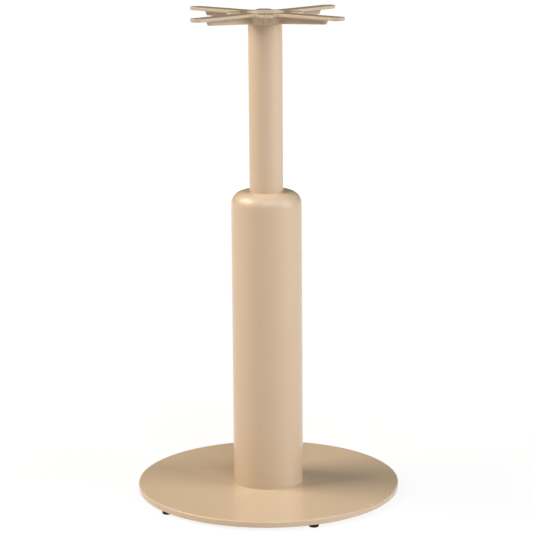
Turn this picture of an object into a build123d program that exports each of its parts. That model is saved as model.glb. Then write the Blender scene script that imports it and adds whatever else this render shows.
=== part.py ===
from build123d import *
import os
from math import cos, radians, tan

# Bar table base: a round plate on screw-in glides, a wide lower column with a
# rounded shoulder, a slim upper tube and a cast spider, clamped by one tie rod.
# Millimetres. +Z is up, and the origin is on the floor under the column's axis.

# Whole base
TOTAL_HEIGHT = 1100.0  # floor to the underside of the table top, glides screwed in

# Clearances
SLIP = 0.15  # radial gap between a locator and the bore that it centres
THREAD_GAP = 0.1  # radial gap that stands for a thread

# Base plate
PLATE_DIA = 600.0
PLATE_THICK = 14.0
PLATE_TOP_EDGE = 3.0
PLATE_LOWER_EDGE = 1.0

# Glides
GLIDE_COUNT = 5
GLIDE_INSET = 12.0  # rim of the plate to a glide's axis
FOOT_DIA = 22.0
FOOT_HEIGHT = 7.0
FOOT_LOWER_EDGE = 1.2
FOOT_TOP_EDGE = 0.5
FOOT_FLOOR = 1.5  # plastic under the stud's head
STUD_DIA = 8.0
STUD_HEAD_DIA = 12.0
STUD_HEAD_THICK = 2.5
STUD_HEAD_GAP = 0.2
STUD_COVER = 2.5  # plate left above a stud's blind hole
STUD_END_GAP = 0.5
FOOT_KEY_HOLE = 6.0
STUD_KEY = 4.0  # hexagon socket across its flats, reached through the foot
STUD_KEY_DEPTH = 5.0
STUD_CHAMFER = 0.8

# Lower column
COLUMN_DIA = 160.0
COLUMN_WALL = 3.0
COLUMN_HEIGHT = 678.0
SHOULDER_RADIUS = 30.0
SHOULDER_THICK = 6.0
SHOULDER_BORE = 50.0

# Upper tube
TUBE_DIA = 76.4
TUBE_WALL = 2.5

# Tie rod, its nuts and its washer
ROD_DIA = 16.0
ROD_HOLE_GAP = 0.5  # radial gap in the holes that the rod passes
ROD_SHOW = 1.0  # rod standing out of the top nut
ROD_CHAMFER = 1.5
TOP_NUT_FLATS = 24.0
TOP_NUT_HEIGHT = 8.0  # thin nut
WASHER_DIA = 30.0
WASHER_THICK = 3.0
BASE_NUT_DIA = 32.0
BASE_NUT_SEAT = 5.0  # plate left above the round nut's counterbore
BASE_NUT_SET_IN = 0.5
SPANNER_HOLE_DIA = 4.0
SPANNER_HOLE_DEPTH = 5.0

# Locators
BASE_LOCATOR_THICK = 8.0
LOCATOR_CHAMFER = 1.0
TUBE_LOCATOR_THICK = 10.0  # height inside the upper tube
SPIGOT_END_GAP = 0.5
SCREW_COUNT = 3
SCREW_CIRCLE = 104.0
SCREW_DIA = 6.0
SCREW_HEAD_DIA = 12.0
SCREW_LENGTH = 16.0
SCREW_KEY = 4.0
SCREW_KEY_DEPTH = 2.2
SCREW_END_GAP = 1.0

# Spider
ARM_THICK = 7.2
ARM_TOP_EDGE = 1.0
ARM_LOWER_EDGE = 2.5
LONG_ARM_REACH = 227.0
LONG_ARM_TIP_WIDTH = 35.0
LONG_ARM_ROOT_WIDTH = 39.0
SHORT_ARM_REACH = 84.0
SHORT_ARM_TIP_WIDTH = 34.0
SHORT_ARM_ROOT_WIDTH = 36.0
CROTCH_RADIUS = 8.0
RIB_THICK = 9.0
RIB_EDGE = 1.5
RIB_TIP_DEPTH = 17.7  # arm's top face to the rib's lower edge, at its outer end
RIB_ROOT_STEP = 1.4  # ribs start this far above the hub's lower face
RIB_END_SLANT = 5.0
LONG_RIB_FROM_TIP = 49.5
SHORT_RIB_FROM_TIP = 28.0
LONG_HOLE_FROM_TIP = 22.0
SHORT_HOLE_FROM_TIP = 14.0
TABLE_SCREW_HOLE = 8.0
HUB_FLOOR = 8.0
HUB_WALL = 8.0
HUB_OVERHANG = 2.0  # hub standing out past the upper tube
HUB_EDGE = 1.0
HUB_CORNER_RADIUS = 3.0  # between a rib and the hub
CAST_RADIUS = 2.0  # between the ribs and the arms
RECESS_DIA = 86.0
RECESS_DRAFT = 4.0
RECESS_EDGE = 0.8
RECESS_SPARE = 6.0  # top face of the arms above the rod's end
SPIDER_SPIGOT_LENGTH = 12.0
SPIDER_SPIGOT_WALL = 6.0

# Heights that follow from the sizes above
PLATE_BOTTOM = FOOT_HEIGHT
PLATE_TOP = PLATE_BOTTOM + PLATE_THICK
SHOULDER_TOP = PLATE_TOP + COLUMN_HEIGHT
RECESS_DEPTH = WASHER_THICK + TOP_NUT_HEIGHT + ROD_SHOW + RECESS_SPARE
RECESS_FLOOR = TOTAL_HEIGHT - RECESS_DEPTH
HUB_BOTTOM = RECESS_FLOOR - HUB_FLOOR
ARM_UNDERSIDE = TOTAL_HEIGHT - ARM_THICK
NUT_SEAT = RECESS_FLOOR + WASHER_THICK
ROD_TOP = NUT_SEAT + TOP_NUT_HEIGHT + ROD_SHOW
BASE_NUT_TOP = PLATE_TOP - BASE_NUT_SEAT
BASE_NUT_BOTTOM = PLATE_BOTTOM + BASE_NUT_SET_IN
STUD_HOLE_TOP = PLATE_TOP - STUD_COVER
STUD_TOP = STUD_HOLE_TOP - STUD_END_GAP
SCREW_TIP = PLATE_TOP + BASE_LOCATOR_THICK - SCREW_LENGTH

# Widths that follow from the sizes above
ROD_HOLE = ROD_DIA + 2 * ROD_HOLE_GAP
ROD_THREAD = ROD_DIA + 2 * THREAD_GAP
COLUMN_BORE = COLUMN_DIA - 2 * COLUMN_WALL
TUBE_BORE = TUBE_DIA - 2 * TUBE_WALL
TUBE_PLUG = TUBE_BORE - 2 * SLIP
GLIDE_CIRCLE = PLATE_DIA - 2 * GLIDE_INSET


def disc(diameter, bottom, top):
    """Upright round bar between two heights."""
    base = (Align.CENTER, Align.CENTER, Align.MIN)
    return Pos(0, 0, bottom) * Cylinder(diameter / 2, top - bottom, align=base)


def hexagon(across_flats, bottom, top):
    """Upright hexagonal bar between two heights."""
    outline = RegularPolygon(across_flats / 2, 6, major_radius=False)
    return Pos(0, 0, bottom) * extrude(outline, top - bottom)


def turned(*points):
    """Solid turned about the Z axis from a closed outline of (radius, height) points."""
    outline = Polyline(*[(radius, 0, height) for radius, height in points], close=True)
    return revolve(make_face(outline), Axis.Z)


def around(circle, count, piece, start=0.0):
    """Copies of a piece on a circle about the Z axis."""
    return [
        Rot(0, 0, start + 360 * i / count) * Pos(circle / 2, 0, 0) * piece
        for i in range(count)
    ]


def top_edges(piece):
    return piece.edges().group_by(Axis.Z)[-1]


def lower_edges(piece):
    return piece.edges().group_by(Axis.Z)[0]


# Base plate: cut from steel plate, with blind holes so that its top stays plain.
def make_base_plate():
    plate = disc(PLATE_DIA, PLATE_BOTTOM, PLATE_TOP)
    plate = fillet(top_edges(plate), PLATE_TOP_EDGE)
    plate = chamfer(lower_edges(plate), PLATE_LOWER_EDGE)
    plate -= disc(ROD_HOLE, PLATE_BOTTOM, PLATE_TOP)
    plate -= disc(BASE_NUT_DIA + 2 * ROD_HOLE_GAP, PLATE_BOTTOM, BASE_NUT_TOP)
    screw_hole = disc(SCREW_DIA + 2 * THREAD_GAP, SCREW_TIP - SCREW_END_GAP, PLATE_TOP)
    stud_hole = disc(STUD_DIA + 2 * THREAD_GAP, PLATE_BOTTOM, STUD_HOLE_TOP)
    plate -= around(SCREW_CIRCLE, SCREW_COUNT, screw_hole)
    plate -= around(GLIDE_CIRCLE, GLIDE_COUNT, stud_hole)
    return plate


# Glide foot: moulded pad that stays still on the floor while its stud turns in it.
def make_glide_foot():
    foot = disc(FOOT_DIA, 0, FOOT_HEIGHT)
    foot = fillet(lower_edges(foot), FOOT_LOWER_EDGE)
    foot = fillet(top_edges(foot), FOOT_TOP_EDGE)
    head_top = FOOT_FLOOR + STUD_HEAD_THICK + STUD_HEAD_GAP
    foot -= disc(STUD_HEAD_DIA + 2 * STUD_HEAD_GAP, FOOT_FLOOR, head_top)
    foot -= disc(STUD_DIA + 2 * STUD_HEAD_GAP, head_top, FOOT_HEIGHT)
    foot -= disc(FOOT_KEY_HOLE, 0, FOOT_FLOOR)
    return foot


# Glide stud: steel stud with a flat head, turned by a key from below.
def make_glide_stud():
    stud = disc(STUD_DIA, FOOT_FLOOR, STUD_TOP)
    stud = chamfer(top_edges(stud), STUD_CHAMFER)
    stud += disc(STUD_HEAD_DIA, FOOT_FLOOR, FOOT_FLOOR + STUD_HEAD_THICK)
    stud -= hexagon(STUD_KEY, FOOT_FLOOR, FOOT_FLOOR + STUD_KEY_DEPTH)
    return stud


# Base locator: turned disc that centres the lower column on the plate.
def make_base_locator():
    top = PLATE_TOP + BASE_LOCATOR_THICK
    locator = disc(COLUMN_BORE - 2 * SLIP, PLATE_TOP, top)
    locator = chamfer(top_edges(locator), LOCATOR_CHAMFER)
    locator -= disc(ROD_HOLE, PLATE_TOP, top)
    head_depth = (SCREW_HEAD_DIA - SCREW_DIA) / 2
    seat = turned(
        (0, PLATE_TOP),
        (SCREW_DIA / 2 + SLIP, PLATE_TOP),
        (SCREW_DIA / 2 + SLIP, top - head_depth + SLIP),
        (SCREW_HEAD_DIA / 2, top),
        (0, top),
    )
    locator -= around(SCREW_CIRCLE, SCREW_COUNT, seat)
    return locator


# Locator screws: countersunk, with a hexagon socket, flush with the disc.
def make_locator_screws():
    top = PLATE_TOP + BASE_LOCATOR_THICK
    head_depth = (SCREW_HEAD_DIA - SCREW_DIA) / 2
    screw = turned(
        (0, SCREW_TIP),
        (SCREW_DIA / 2, SCREW_TIP),
        (SCREW_DIA / 2, top - head_depth),
        (SCREW_HEAD_DIA / 2, top),
        (0, top),
    )
    screw -= hexagon(SCREW_KEY, top - SCREW_KEY_DEPTH, top)
    return Compound(around(SCREW_CIRCLE, SCREW_COUNT, screw))


# Lower column: wide tube with a dished cap welded in and ground to one rounded shoulder.
def make_lower_column():
    column = disc(COLUMN_DIA, PLATE_TOP, SHOULDER_TOP)
    column = fillet(top_edges(column), SHOULDER_RADIUS)
    hollow = disc(COLUMN_BORE, PLATE_TOP, SHOULDER_TOP - SHOULDER_THICK)
    hollow = fillet(top_edges(hollow), SHOULDER_RADIUS - COLUMN_WALL)
    column -= hollow
    column -= disc(SHOULDER_BORE, SHOULDER_TOP - SHOULDER_THICK, SHOULDER_TOP)
    return column


# Tube locator: turned plug that sits in the shoulder's bore and centres the upper tube.
def make_tube_locator():
    top = SHOULDER_TOP + TUBE_LOCATOR_THICK
    spigot_bottom = SHOULDER_TOP - SHOULDER_THICK + SPIGOT_END_GAP
    locator = disc(TUBE_PLUG, SHOULDER_TOP, top)
    locator = chamfer(top_edges(locator), LOCATOR_CHAMFER)
    locator += disc(SHOULDER_BORE - 2 * SLIP, spigot_bottom, SHOULDER_TOP)
    locator -= disc(ROD_HOLE, spigot_bottom, top)
    return locator


# Upper tube: plain tube, cut square, clamped between the shoulder and the spider.
def make_upper_tube():
    tube = disc(TUBE_DIA, SHOULDER_TOP, HUB_BOTTOM)
    tube -= disc(TUBE_BORE, SHOULDER_TOP, HUB_BOTTOM)
    return tube


# Tie rod: threaded bar from the round nut under the plate to the nut in the spider.
def make_tie_rod():
    rod = disc(ROD_DIA, BASE_NUT_BOTTOM, ROD_TOP)
    return chamfer(rod.edges().filter_by(GeomType.CIRCLE), ROD_CHAMFER)


# Base nut: round nut with two spanner holes, sunk in the plate's counterbore.
def make_base_nut():
    nut = disc(BASE_NUT_DIA, BASE_NUT_BOTTOM, BASE_NUT_TOP)
    nut -= disc(ROD_THREAD, BASE_NUT_BOTTOM, BASE_NUT_TOP)
    spanner_hole = disc(SPANNER_HOLE_DIA, BASE_NUT_BOTTOM, BASE_NUT_BOTTOM + SPANNER_HOLE_DEPTH)
    nut -= around((BASE_NUT_DIA + ROD_DIA) / 2, 2, spanner_hole)
    return nut


# Top washer: flat steel ring on the floor of the spider's recess.
def make_top_washer():
    washer = disc(WASHER_DIA, RECESS_FLOOR, NUT_SEAT)
    washer -= disc(ROD_HOLE, RECESS_FLOOR, NUT_SEAT)
    return washer


# Top nut: hexagon nut with its corners turned off at both faces.
def make_top_nut():
    top = NUT_SEAT + TOP_NUT_HEIGHT
    face = TOP_NUT_FLATS / 2
    corner = face / cos(radians(30))
    slope = (corner - face) * tan(radians(30))
    blank = turned(
        (0, NUT_SEAT),
        (face, NUT_SEAT),
        (corner, NUT_SEAT + slope),
        (corner, top - slope),
        (face, top),
        (0, top),
    )
    nut = hexagon(TOP_NUT_FLATS, NUT_SEAT, top) & blank
    return nut - disc(ROD_THREAD, NUT_SEAT, top)


# Spider: one casting with four long arms between four short ones, a rib under each
# arm, and a hub whose recess takes the nut and whose spigot fits the upper tube.
def arm_pair(reach, tip_width, root_width):
    """Flat outline of two opposite arms along X, with round tips."""
    tip_r = tip_width / 2
    tip_x = reach - tip_r
    sides = [
        ThreePointArc((tip_x, -tip_r), (reach, 0), (tip_x, tip_r)),
        Polyline((tip_x, tip_r), (0, root_width / 2), (-tip_x, tip_r)),
        ThreePointArc((-tip_x, tip_r), (-reach, 0), (-tip_x, -tip_r)),
        Polyline((-tip_x, -tip_r), (0, -root_width / 2), (tip_x, -tip_r)),
    ]
    return make_face(sides)


def make_arms():
    long_pair = arm_pair(LONG_ARM_REACH, LONG_ARM_TIP_WIDTH, LONG_ARM_ROOT_WIDTH)
    short_pair = arm_pair(SHORT_ARM_REACH, SHORT_ARM_TIP_WIDTH, SHORT_ARM_ROOT_WIDTH)
    star = Sketch() + [Rot(0, 0, angle) * long_pair for angle in (45, 135)]
    star += [Rot(0, 0, angle) * short_pair for angle in (0, 90)]
    short_tip_x = SHORT_ARM_REACH - SHORT_ARM_TIP_WIDTH / 2
    crotches = star.vertices().filter_by(lambda v: Vector(v.X, v.Y).length < short_tip_x)
    star = fillet(crotches, CROTCH_RADIUS)
    arms = Pos(0, 0, ARM_UNDERSIDE) * extrude(star, ARM_THICK)
    arms = fillet(top_edges(arms), ARM_TOP_EDGE)
    return fillet(lower_edges(arms), ARM_LOWER_EDGE)


def make_rib(reach):
    """Rib along X under an arm, with a lower edge that all the ribs share."""
    root_x = TUBE_DIA / 2
    root_z = HUB_BOTTOM + RIB_ROOT_STEP
    long_x = LONG_ARM_REACH - LONG_RIB_FROM_TIP
    rise = (TOTAL_HEIGHT - RIB_TIP_DEPTH - root_z) / (long_x - root_x)
    outline = Polyline(
        (0, 0, ARM_UNDERSIDE),
        (0, 0, root_z),
        (root_x, 0, root_z),
        (reach, 0, root_z + rise * (reach - root_x)),
        (reach + RIB_END_SLANT, 0, ARM_UNDERSIDE),
        close=True,
    )
    rib = extrude(make_face(outline), RIB_THICK / 2, both=True)
    outer = rib.edges().filter_by(lambda edge: edge.center().X > root_x)
    return fillet(outer.filter_by(lambda edge: edge.center().Z < ARM_UNDERSIDE - RIB_EDGE), RIB_EDGE)


def make_hub_and_ribs():
    hub = turned(
        (0, HUB_BOTTOM),
        (TUBE_DIA / 2 + HUB_OVERHANG, HUB_BOTTOM),
        (RECESS_DIA / 2 + HUB_WALL, ARM_UNDERSIDE),
        (0, ARM_UNDERSIDE),
    )
    hub = fillet(lower_edges(hub), HUB_EDGE)
    hub += around(0, 4, make_rib(LONG_ARM_REACH - LONG_RIB_FROM_TIP), start=45)
    hub += around(0, 4, make_rib(SHORT_ARM_REACH - SHORT_RIB_FROM_TIP))
    return fillet(hub.edges().filter_by(GeomType.HYPERBOLA), HUB_CORNER_RADIUS)


def edges_at(piece, height):
    """Edges that lie in the level plane at a height."""
    flat = piece.edges().filter_by(lambda edge: abs(edge.bounding_box().min.Z - height) < 0.01)
    return flat.filter_by(lambda edge: abs(edge.bounding_box().max.Z - height) < 0.01)


def make_top_spider():
    arms = make_arms()
    rim = [edge.center() for edge in edges_at(arms, ARM_UNDERSIDE)]
    spider = arms + make_hub_and_ribs()
    seam = edges_at(spider, ARM_UNDERSIDE)
    seam = seam.filter_by(lambda edge: min((edge.center() - point).length for point in rim) > 0.01)
    spider = fillet(seam, CAST_RADIUS)
    spigot_bottom = HUB_BOTTOM - SPIDER_SPIGOT_LENGTH
    spider += disc(TUBE_PLUG, spigot_bottom, HUB_BOTTOM)
    spider -= disc(TUBE_PLUG - 2 * SPIDER_SPIGOT_WALL, spigot_bottom, HUB_BOTTOM)
    spider -= turned(
        (0, RECESS_FLOOR),
        (RECESS_DIA / 2 - RECESS_DRAFT, RECESS_FLOOR),
        (RECESS_DIA / 2, TOTAL_HEIGHT - RECESS_EDGE),
        (RECESS_DIA / 2 + RECESS_EDGE, TOTAL_HEIGHT),
        (0, TOTAL_HEIGHT),
    )
    spider -= disc(ROD_HOLE, HUB_BOTTOM, RECESS_FLOOR)
    screw_hole = disc(TABLE_SCREW_HOLE, ARM_UNDERSIDE, TOTAL_HEIGHT)
    spider -= around(2 * (LONG_ARM_REACH - LONG_HOLE_FROM_TIP), 4, screw_hole, start=45)
    spider -= around(2 * (SHORT_ARM_REACH - SHORT_HOLE_FROM_TIP), 4, screw_hole)
    return spider


nodes = {
    "base_plate": make_base_plate(),
    "base_locator": make_base_locator(),
    "locator_screws": make_locator_screws(),
    "lower_column": make_lower_column(),
    "tube_locator": make_tube_locator(),
    "upper_tube": make_upper_tube(),
    "top_spider": make_top_spider(),
    "tie_rod": make_tie_rod(),
    "base_nut": make_base_nut(),
    "top_washer": make_top_washer(),
    "top_nut": make_top_nut(),
}
feet = around(GLIDE_CIRCLE, GLIDE_COUNT, make_glide_foot())
studs = around(GLIDE_CIRCLE, GLIDE_COUNT, make_glide_stud())
for i in range(GLIDE_COUNT):
    nodes[f"glide_foot_{i + 1}"] = feet[i]
    nodes[f"glide_stud_{i + 1}"] = studs[i]

os.makedirs("parts", exist_ok=True)
for name, piece in nodes.items():
    export_step(piece, f"parts/{name}.step")
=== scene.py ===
from math import cos, pi, radians, sin

import bpy
from mathutils import Matrix, Vector


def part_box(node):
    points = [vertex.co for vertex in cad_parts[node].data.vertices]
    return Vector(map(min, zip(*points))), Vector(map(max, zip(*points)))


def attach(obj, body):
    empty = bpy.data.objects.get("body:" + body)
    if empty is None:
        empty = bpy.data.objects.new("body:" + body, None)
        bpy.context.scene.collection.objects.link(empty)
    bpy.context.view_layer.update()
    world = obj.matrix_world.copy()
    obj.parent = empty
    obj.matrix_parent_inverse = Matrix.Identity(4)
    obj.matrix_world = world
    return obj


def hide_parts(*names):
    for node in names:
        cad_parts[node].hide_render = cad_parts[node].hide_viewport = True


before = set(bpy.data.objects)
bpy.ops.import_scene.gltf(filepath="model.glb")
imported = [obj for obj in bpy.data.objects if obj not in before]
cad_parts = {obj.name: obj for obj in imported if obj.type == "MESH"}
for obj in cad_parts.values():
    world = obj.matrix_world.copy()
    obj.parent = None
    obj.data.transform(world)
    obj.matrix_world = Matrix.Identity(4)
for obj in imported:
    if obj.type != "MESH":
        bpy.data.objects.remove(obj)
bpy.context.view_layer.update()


# The base plate is a round steel plate, 14 mm thick, with a rounded upper rim.
# It is cut, blasted and powder coated in sand, and stands on five screw-in glides.
SAND = (0.615, 0.463, 0.315)
PEBBLE_SIZE = 0.0007
PEBBLE_DEPTH = 0.000012
PEBBLE_ROUGHNESS = 0.47
DIP_ROUGHNESS = 0.57
DIP_TONE = 0.93  # share of the colour that shows between the pebbles
DRIFT_SIZE = 0.09
DRIFT_TONE = 0.97
WAVE_SIZE = 0.012
STEEL_WAVE = 0.00002
NOISE_LOW, NOISE_HIGH = 0.3, 0.7  # a noise texture seldom leaves these values


def sand_coat(name, sand, wave_depth):
    """Satin powder coat: a pebbled skin with a thin resin gloss, a faint drift of tone, and
    the slow waves of the metal below."""
    coat = bpy.data.materials.new(name)
    coat.use_nodes = True
    nodes = coat.node_tree.nodes
    link = coat.node_tree.links.new
    shader = nodes["Principled BSDF"]
    shader.inputs["Specular IOR Level"].default_value = 0.9
    shader.inputs["Coat Weight"].default_value = 1
    shader.inputs["Coat IOR"].default_value = 1.2
    shader.inputs["Coat Roughness"].default_value = 0.12
    place = nodes.new("ShaderNodeTexCoord").outputs["Object"]

    def noise(feature_size, detail):
        texture = nodes.new("ShaderNodeTexNoise")
        texture.inputs["Scale"].default_value = 1 / feature_size
        texture.inputs["Detail"].default_value = detail
        link(place, texture.inputs["Vector"])
        return texture.outputs["Fac"]

    def spread(value, low, high):
        limits = nodes.new("ShaderNodeMapRange")
        limits.inputs["From Min"].default_value = NOISE_LOW
        limits.inputs["From Max"].default_value = NOISE_HIGH
        limits.inputs["To Min"].default_value = low
        limits.inputs["To Max"].default_value = high
        link(value, limits.inputs["Value"])
        return limits.outputs["Result"]

    def tone(value, dark, colour):
        """Colour, down to a share of itself where the value is low."""
        mix = nodes.new("ShaderNodeMix")
        mix.data_type = "RGBA"
        mix.inputs["A"].default_value = (*[c * dark for c in colour], 1)
        mix.inputs["B"].default_value = (*colour, 1)
        link(value, mix.inputs["Factor"])
        return mix.outputs["Result"]

    pebbles = noise(PEBBLE_SIZE, detail=2)
    drift = noise(DRIFT_SIZE, detail=3)
    waves = noise(WAVE_SIZE, detail=1)

    grain = tone(spread(pebbles, 0, 1), DIP_TONE, sand)
    shade = tone(spread(drift, 0, 1), DRIFT_TONE, (1, 1, 1))
    colour = nodes.new("ShaderNodeMix")
    colour.data_type = "RGBA"
    colour.blend_type = "MULTIPLY"
    colour.inputs["Factor"].default_value = 1
    link(grain, colour.inputs["A"])
    link(shade, colour.inputs["B"])
    link(colour.outputs["Result"], shader.inputs["Base Color"])
    link(spread(pebbles, DIP_ROUGHNESS, PEBBLE_ROUGHNESS), shader.inputs["Roughness"])

    metal = nodes.new("ShaderNodeBump")
    metal.inputs["Distance"].default_value = wave_depth
    link(waves, metal.inputs["Height"])
    skin = nodes.new("ShaderNodeBump")
    skin.inputs["Distance"].default_value = PEBBLE_DEPTH
    link(pebbles, skin.inputs["Height"])
    link(metal.outputs["Normal"], skin.inputs["Normal"])
    link(skin.outputs["Normal"], shader.inputs["Normal"])
    link(skin.outputs["Normal"], shader.inputs["Coat Normal"])
    return coat


def finish_with(material, *names):
    """Gives CAD nodes their finish."""
    for name in names:
        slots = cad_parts[name].data.materials
        slots.clear()
        slots.append(material)


flat_coat = sand_coat("sand_coat_on_steel", SAND, STEEL_WAVE)
finish_with(flat_coat, "base_plate")


# The glides are moulded black feet, each held by a zinc-plated stud that screws into
# the plate. The stud turns in the foot, by a key from below, to level the table.
FOOT_BLACK = (0.010, 0.010, 0.011)
PLASTIC_SPECKLE = 0.3  # how far the black goes up and down, as a share of itself
PLASTIC_SKIN_PER_METRE = 3000
PLASTIC_SKIN_DEPTH = 0.00002
PLASTIC_ROUGHNESS = (0.42, 0.58)
ZINC = (0.66, 0.66, 0.63)
ZINC_CLOUDED = (0.84, 0.86, 0.90)  # share of each colour left where the plating is cloudy
ZINC_CLOUDS_PER_METRE = 160
ZINC_ROUGHNESS = (0.22, 0.44)
TOOL_MARKS_PER_METRE = 2500
TOOL_MARK_DEPTH = 0.00001
GLIDES = 5
STUD_THREAD = 0.008
STUD_PITCH = 0.00125
STUD_HEAD_THICK = 0.0025
STUD_HEAD_CHAMFER = 0.0002
STUD_KEY = 0.004
STUD_KEY_DEPTH = 0.005
STUD_CHAMFER = 0.0008
THREAD_DEPTH = 0.6134  # this and the next three are shares of the pitch, as metric threads have
THREAD_FLANK = 5 / 16
THREAD_ROOT = 1 / 4
THREAD_CREST = 1 / 8
THREAD_STEPS = 32  # faces round one turn
SPARE_TURNS = 2  # past each end, cut off again
LEVEL = 1e-7  # an edge whose ends differ less than this in height lies level
SMOOTH_BELOW = radians(25)


def moulded_black():
    """Matt moulded plastic with a fine spark-eroded skin."""
    plastic = bpy.data.materials.new("moulded_black")
    plastic.use_nodes = True
    nodes = plastic.node_tree.nodes
    link = plastic.node_tree.links.new
    shader = nodes["Principled BSDF"]
    shader.inputs["Specular IOR Level"].default_value = 0.2
    place = nodes.new("ShaderNodeTexCoord").outputs["Object"]
    skin = nodes.new("ShaderNodeTexNoise")
    skin.inputs["Scale"].default_value = PLASTIC_SKIN_PER_METRE
    skin.inputs["Detail"].default_value = 2
    link(place, skin.inputs["Vector"])
    shade = nodes.new("ShaderNodeMix")
    shade.data_type = "RGBA"
    shade.inputs["A"].default_value = (*[c * (1 - PLASTIC_SPECKLE) for c in FOOT_BLACK], 1)
    shade.inputs["B"].default_value = (*[c * (1 + PLASTIC_SPECKLE) for c in FOOT_BLACK], 1)
    link(skin.outputs["Fac"], shade.inputs["Factor"])
    link(shade.outputs["Result"], shader.inputs["Base Color"])
    gloss = nodes.new("ShaderNodeMapRange")
    gloss.inputs["To Min"].default_value = PLASTIC_ROUGHNESS[0]
    gloss.inputs["To Max"].default_value = PLASTIC_ROUGHNESS[1]
    link(skin.outputs["Fac"], gloss.inputs["Value"])
    link(gloss.outputs["Result"], shader.inputs["Roughness"])
    bump = nodes.new("ShaderNodeBump")
    bump.inputs["Distance"].default_value = PLASTIC_SKIN_DEPTH
    link(skin.outputs["Fac"], bump.inputs["Height"])
    link(bump.outputs["Normal"], shader.inputs["Normal"])
    return plastic


def zinc_plate():
    """Zinc-plated steel: cloudy crystals of plating over fine tool marks."""
    steel = bpy.data.materials.new("zinc_plate")
    steel.use_nodes = True
    nodes = steel.node_tree.nodes
    link = steel.node_tree.links.new
    shader = nodes["Principled BSDF"]
    shader.inputs["Metallic"].default_value = 1
    place = nodes.new("ShaderNodeTexCoord").outputs["Object"]
    cloud = nodes.new("ShaderNodeTexNoise")
    cloud.inputs["Scale"].default_value = ZINC_CLOUDS_PER_METRE
    cloud.inputs["Detail"].default_value = 4
    link(place, cloud.inputs["Vector"])
    shade = nodes.new("ShaderNodeMix")
    shade.data_type = "RGBA"
    shade.inputs["A"].default_value = (*[c * k for c, k in zip(ZINC, ZINC_CLOUDED)], 1)
    shade.inputs["B"].default_value = (*ZINC, 1)
    link(cloud.outputs["Fac"], shade.inputs["Factor"])
    link(shade.outputs["Result"], shader.inputs["Base Color"])
    gloss = nodes.new("ShaderNodeMapRange")
    gloss.inputs["To Min"].default_value = ZINC_ROUGHNESS[0]
    gloss.inputs["To Max"].default_value = ZINC_ROUGHNESS[1]
    link(cloud.outputs["Fac"], gloss.inputs["Value"])
    link(gloss.outputs["Result"], shader.inputs["Roughness"])
    marks = nodes.new("ShaderNodeTexNoise")
    marks.inputs["Scale"].default_value = TOOL_MARKS_PER_METRE
    marks.inputs["Detail"].default_value = 2
    link(place, marks.inputs["Vector"])
    bump = nodes.new("ShaderNodeBump")
    bump.inputs["Distance"].default_value = TOOL_MARK_DEPTH
    link(marks.outputs["Fac"], bump.inputs["Height"])
    link(bump.outputs["Normal"], shader.inputs["Normal"])
    return steel


def apply_modifiers(piece):
    bpy.context.view_layer.objects.active = piece
    for modifier in list(piece.modifiers):
        bpy.ops.object.modifier_apply(modifier=modifier.name)


def combine(piece, tool, operation):
    """Boolean of two closed meshes. The tool is used up."""
    cut = piece.modifiers.new(operation.lower(), "BOOLEAN")
    cut.object = tool
    cut.operation = operation
    cut.solver = "EXACT"
    apply_modifiers(piece)
    bpy.data.objects.remove(tool, do_unlink=True)


def turned_bar(name, diameter, bottom, top, chamfer, sides=48):
    """Round bar about Z with both ends chamfered."""
    bpy.ops.object.select_all(action="DESELECT")
    middle = (0, 0, (bottom + top) / 2)
    bpy.ops.mesh.primitive_cylinder_add(
        vertices=sides, radius=diameter / 2, depth=top - bottom, location=middle
    )
    bar = bpy.context.object
    bar.name = name
    bpy.ops.object.transform_apply(location=True)
    if chamfer:
        bpy.ops.object.mode_set(mode="EDIT")
        bpy.ops.mesh.select_mode(type="EDGE")
        bpy.ops.mesh.select_all(action="DESELECT")
        bpy.ops.object.mode_set(mode="OBJECT")
        for edge in bar.data.edges:
            heights = [bar.data.vertices[v].co.z for v in edge.vertices]
            edge.select = abs(heights[0] - heights[1]) < LEVEL
        bpy.ops.object.mode_set(mode="EDIT")
        bpy.ops.mesh.bevel(offset=chamfer, segments=1)
        bpy.ops.object.mode_set(mode="OBJECT")
    return bar


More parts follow.
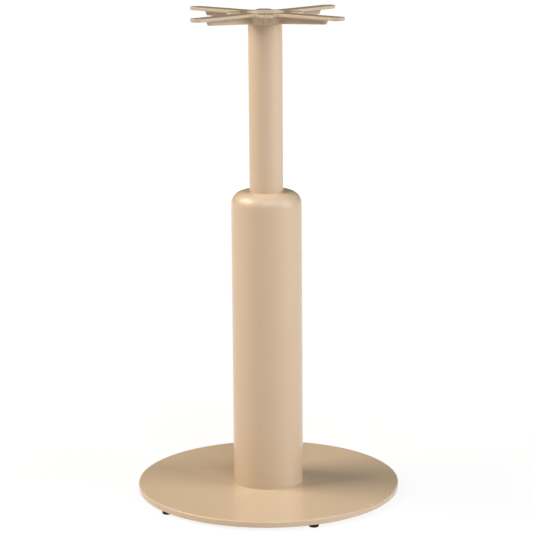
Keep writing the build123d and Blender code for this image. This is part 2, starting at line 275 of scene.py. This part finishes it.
def threaded_bar(name, diameter, pitch, bottom, top, chamfer):
    """Bar about Z with a right-hand metric thread and chamfered ends."""
    depth = THREAD_DEPTH * pitch
    flank = THREAD_FLANK * pitch
    root = diameter / 2 - depth
    start = bottom - SPARE_TURNS * pitch
    turns = round((top - bottom) / pitch) + 2 * SPARE_TURNS
    weld = pitch / 1000
    outline = (
        (0, 0, THREAD_ROOT * pitch),
        (depth, 0, flank),
        (0, 0, THREAD_CREST * pitch),
        (-depth, 0, flank),
    )
    bpy.ops.object.select_all(action="DESELECT")
    bpy.ops.mesh.primitive_plane_add(size=pitch, location=(root, 0, start))
    thread = bpy.context.object
    thread.name = name
    bpy.ops.object.transform_apply(location=True)
    bpy.ops.object.mode_set(mode="EDIT")
    bpy.ops.mesh.select_mode(type="VERT")
    bpy.ops.mesh.select_all(action="SELECT")
    bpy.ops.mesh.merge(type="CENTER")
    for step in outline:
        bpy.ops.mesh.extrude_region_move(TRANSFORM_OT_translate={"value": step})
    bpy.ops.object.mode_set(mode="OBJECT")
    helix = thread.modifiers.new("helix", "SCREW")
    helix.axis = "Z"
    helix.angle = 2 * pi
    helix.screw_offset = pitch
    helix.iterations = turns
    helix.steps = THREAD_STEPS
    helix.render_steps = THREAD_STEPS
    apply_modifiers(thread)
    bpy.ops.object.mode_set(mode="EDIT")
    bpy.ops.mesh.select_all(action="SELECT")
    bpy.ops.mesh.remove_doubles(threshold=weld)
    for height, keep_above in ((bottom - pitch / 2, True), (top + pitch / 2, False)):
        bpy.ops.mesh.select_all(action="SELECT")
        bpy.ops.mesh.bisect(
            plane_co=(0, 0, height),
            plane_no=(0, 0, 1),
            use_fill=True,
            clear_inner=keep_above,
            clear_outer=not keep_above,
            threshold=weld,
        )
    bpy.ops.mesh.select_all(action="SELECT")
    bpy.ops.mesh.normals_make_consistent(inside=False)
    bpy.ops.object.mode_set(mode="OBJECT")
    past_crests = diameter + pitch / 20
    blank = turned_bar("blank", past_crests, bottom, top, chamfer)
    combine(thread, blank, "INTERSECT")
    return thread


def smooth(piece):
    bpy.ops.object.select_all(action="DESELECT")
    piece.select_set(True)
    bpy.context.view_layer.objects.active = piece
    bpy.ops.object.shade_smooth_by_angle(angle=SMOOTH_BELOW)


black_plastic = moulded_black()
plated_steel = zinc_plate()
for i in range(1, GLIDES + 1):
    finish_with(black_plastic, f"glide_foot_{i}")

stud_low, stud_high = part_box("glide_stud_1")
head_top = stud_low.z + STUD_HEAD_THICK
key_top = stud_low.z + STUD_KEY_DEPTH
stud_pattern = threaded_bar(
    "stud_pattern", STUD_THREAD, STUD_PITCH, stud_low.z + STUD_HEAD_THICK / 2, stud_high.z, STUD_CHAMFER
)
head_diameter = stud_high.y - stud_low.y
head = turned_bar("head", head_diameter, stud_low.z, head_top, STUD_HEAD_CHAMFER)
combine(stud_pattern, head, "UNION")
key_corners = STUD_KEY / cos(radians(30))
key = turned_bar("key", key_corners, stud_low.z - STUD_KEY_DEPTH, key_top, 0, sides=6)
combine(stud_pattern, key, "DIFFERENCE")
smooth(stud_pattern)
stud_pattern.data.materials.clear()
stud_pattern.data.materials.append(plated_steel)
for i in range(1, GLIDES + 1):
    low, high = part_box(f"glide_stud_{i}")
    stud = stud_pattern.copy()
    stud.data = stud_pattern.data.copy()
    stud.name = f"threaded_stud_{i}"
    bpy.context.collection.objects.link(stud)
    stud.data.transform(Matrix.Translation(((low.x + high.x) / 2, (low.y + high.y) / 2, 0)))
    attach(stud, f"stud_{i}")
    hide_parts(f"glide_stud_{i}")
bpy.data.objects.remove(stud_pattern, do_unlink=True)


# The base locator is a turned steel disc that centres the lower column on the plate.
# Three countersunk screws hold it down. Both are zinc plated and hidden in the column.
finish_with(plated_steel, "base_locator", "locator_screws")


# The lower column is a wide steel tube with a dished cap, welded and ground to one
# rounded shoulder, then blasted and powder coated.
finish_with(flat_coat, "lower_column")


# The tube locator is a turned plug in the shoulder's bore that centres the upper tube.
# It is zinc plated and hidden in the tube.
finish_with(plated_steel, "tube_locator")


# The upper tube is plain steel tube, cut square and powder coated. It stands on the
# shoulder, and the tie rod clamps it there.
finish_with(flat_coat, "upper_tube")


# The spider is one iron casting with ribs under its arms. Its sand-cast skin shows as slow waves under
# the powder coat.
# Its sand is painted darker than the plate's, as painted shade for its dark tops and the shade under
# its arms. Its hub stands on the upper tube.
# painted shade: the casting's sand is darker than SAND to stand in for the shade on the arms' tops and
# under the arms
CAST_SAND_WITH_PAINTED_SHADE = (0.550, 0.427, 0.294)
CAST_WAVE = 0.00012

cast_coat_with_painted_shade = sand_coat("sand_coat_on_casting_with_painted_shade", CAST_SAND_WITH_PAINTED_SHADE, CAST_WAVE)
finish_with(cast_coat_with_painted_shade, "top_spider")


# The tie rod is a steel bar, threaded at both ends, that clamps the stack together.
# A round nut under the plate and a hexagon nut on a washer in the hub hold it.
ROD_PITCH = 0.002
ROD_CHAMFER = 0.0015
ROD_TOP_THREAD = 0.060
ROD_LOWER_THREAD = 0.030
ROD_RUN_OUT = 0.0015

rod_low, rod_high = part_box("tie_rod")
rod_diameter = rod_high.x - rod_low.x
top_thread_start = rod_high.z - ROD_TOP_THREAD
lower_thread_end = rod_low.z + ROD_LOWER_THREAD
tie_rod = threaded_bar(
    "threaded_tie_rod", rod_diameter, ROD_PITCH, top_thread_start, rod_high.z, ROD_CHAMFER
)
lower_thread = threaded_bar(
    "lower_thread", rod_diameter, ROD_PITCH, rod_low.z, lower_thread_end, ROD_CHAMFER
)
shank = turned_bar(
    "shank",
    rod_diameter,
    lower_thread_end - ROD_PITCH,
    top_thread_start + ROD_PITCH,
    ROD_RUN_OUT,
)
combine(tie_rod, shank, "UNION")
combine(tie_rod, lower_thread, "UNION")
smooth(tie_rod)
tie_rod.data.materials.clear()
tie_rod.data.materials.append(plated_steel)
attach(tie_rod, "base")
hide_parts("tie_rod")
finish_with(plated_steel, "base_nut", "top_washer", "top_nut")


# The floor is plain and pale, wide enough to fill the picture. The camera and gloss
# see it as white, and it keeps a faint shadow of the table base.
FLOOR_WIDTH = 160.0
FLOOR_GLOW = 0.885
FLOOR_GLOW_FAR = 1.0
FLOOR_NEAR = 0.5
FLOOR_FAR = 4.0
FLOOR_SHADOW_SHARE = 0.10
FLOOR_PALE = (0.66, 0.60, 0.57)

bpy.ops.object.select_all(action="DESELECT")
bpy.ops.mesh.primitive_plane_add(size=FLOOR_WIDTH, location=(0, 0, 0))
floor = bpy.context.object
floor.name = "floor"
paper = bpy.data.materials.new("pale_floor")
paper.use_nodes = True
paper_nodes = paper.node_tree.nodes
paper_link = paper.node_tree.links.new
paper_nodes.remove(paper_nodes["Principled BSDF"])
ray = paper_nodes.new("ShaderNodeLightPath")
seen = paper_nodes.new("ShaderNodeMath")
seen.operation = "MAXIMUM"
paper_link(ray.outputs["Is Camera Ray"], seen.inputs[0])
paper_link(ray.outputs["Is Glossy Ray"], seen.inputs[1])
seen_or_through = paper_nodes.new("ShaderNodeMath")
seen_or_through.operation = "MAXIMUM"
paper_link(seen.outputs["Value"], seen_or_through.inputs[0])
paper_link(ray.outputs["Is Transmission Ray"], seen_or_through.inputs[1])
glow = paper_nodes.new("ShaderNodeEmission")
glow.inputs["Color"].default_value = (1, 1, 1, 1)
floor_place = paper_nodes.new("ShaderNodeTexCoord").outputs["Object"]
away_from_base = paper_nodes.new("ShaderNodeVectorMath")
away_from_base.operation = "LENGTH"
paper_link(floor_place, away_from_base.inputs[0])
brighten = paper_nodes.new("ShaderNodeMapRange")
brighten.inputs["From Min"].default_value = FLOOR_NEAR
brighten.inputs["From Max"].default_value = FLOOR_FAR
brighten.inputs["To Min"].default_value = FLOOR_GLOW
brighten.inputs["To Max"].default_value = FLOOR_GLOW_FAR
paper_link(away_from_base.outputs["Value"], brighten.inputs["Value"])
paper_link(brighten.outputs["Result"], glow.inputs["Strength"])
shadow_catch = paper_nodes.new("ShaderNodeBsdfDiffuse")
shadow_catch.inputs["Color"].default_value = (*[FLOOR_SHADOW_SHARE] * 3, 1)
white = paper_nodes.new("ShaderNodeAddShader")
paper_link(glow.outputs["Emission"], white.inputs[0])
paper_link(shadow_catch.outputs["BSDF"], white.inputs[1])
pale = paper_nodes.new("ShaderNodeBsdfDiffuse")
pale.inputs["Color"].default_value = (*FLOOR_PALE, 1)
choice = paper_nodes.new("ShaderNodeMixShader")
paper_link(seen_or_through.outputs["Value"], choice.inputs[0])
paper_link(pale.outputs["BSDF"], choice.inputs[1])
paper_link(white.outputs["Shader"], choice.inputs[2])
paper_link(choice.outputs["Shader"], paper_nodes["Material Output"].inputs["Surface"])
floor.data.materials.append(paper)


# The light is a dim grey studio with softboxes: the key from the left, a weaker fill
# from the right, and a broad soft light high in front.
STUDIO_GREY = 0.01
AIM_HEIGHT = 0.55
LAMP_DISTANCE = 9.0
KEY_TINT = (1.0, 0.925, 0.812)
FILL_TINT = (1.0, 0.985, 0.975)
FRONT_TINT = (0.855, 0.925, 0.985)

studio = bpy.data.worlds.new("studio")
bpy.context.scene.world = studio
studio.use_nodes = True
studio_light = studio.node_tree.nodes["Background"]
studio_light.inputs["Color"].default_value = (*[STUDIO_GREY] * 3, 1)


def softbox(name, azimuth, elevation, width, height, watts, tint):
    """Area lamp that faces the middle of the base. Azimuth 0 is in front, 90 to the right."""
    turn = radians(azimuth)
    rise = radians(elevation)
    away = Vector((sin(turn) * cos(rise), -cos(turn) * cos(rise), sin(rise)))
    place = away * LAMP_DISTANCE + Vector((0, 0, AIM_HEIGHT))
    bpy.ops.object.light_add(type="AREA", location=place)
    lamp = bpy.context.object
    lamp.name = name
    lamp.rotation_euler = away.to_track_quat("Z", "Y").to_euler()
    lamp.data.shape = "RECTANGLE"
    lamp.data.size = width
    lamp.data.size_y = height
    lamp.data.energy = watts
    lamp.data.color = tint


softbox("key_left", azimuth=-90, elevation=43, width=5.8, height=4.2, watts=950, tint=KEY_TINT)
softbox("fill_right", azimuth=68, elevation=25, width=5.0, height=8.0, watts=604, tint=FILL_TINT)
softbox("front_top", azimuth=12, elevation=43, width=4.7, height=4.5, watts=368, tint=FRONT_TINT)


# The camera stands in front, a little to the left and above, and looks down at the base
# through a long lens.
CAMERA_PLACE = (-0.1622, -4.5441, 1.5085)
CAMERA_HEADING = radians(2.032)  # to the right of +Y
CAMERA_PITCH = radians(12.2102)  # below level
CAMERA_ROLL = radians(-0.4267)
CAMERA_LENS = 138.633
CAMERA_SENSOR = 36.0

bpy.ops.object.camera_add()
camera = bpy.context.object
camera.name = "camera"
camera.data.sensor_width = CAMERA_SENSOR
camera.data.lens = CAMERA_LENS
camera.matrix_world = (
    Matrix.Translation(CAMERA_PLACE)
    @ Matrix.Rotation(-CAMERA_HEADING, 4, "Z")
    @ Matrix.Rotation(pi / 2 - CAMERA_PITCH, 4, "X")
    @ Matrix.Rotation(CAMERA_ROLL, 4, "Z")
)
bpy.context.scene.camera = camera
bpy.context.scene.view_settings.view_transform = "Standard"
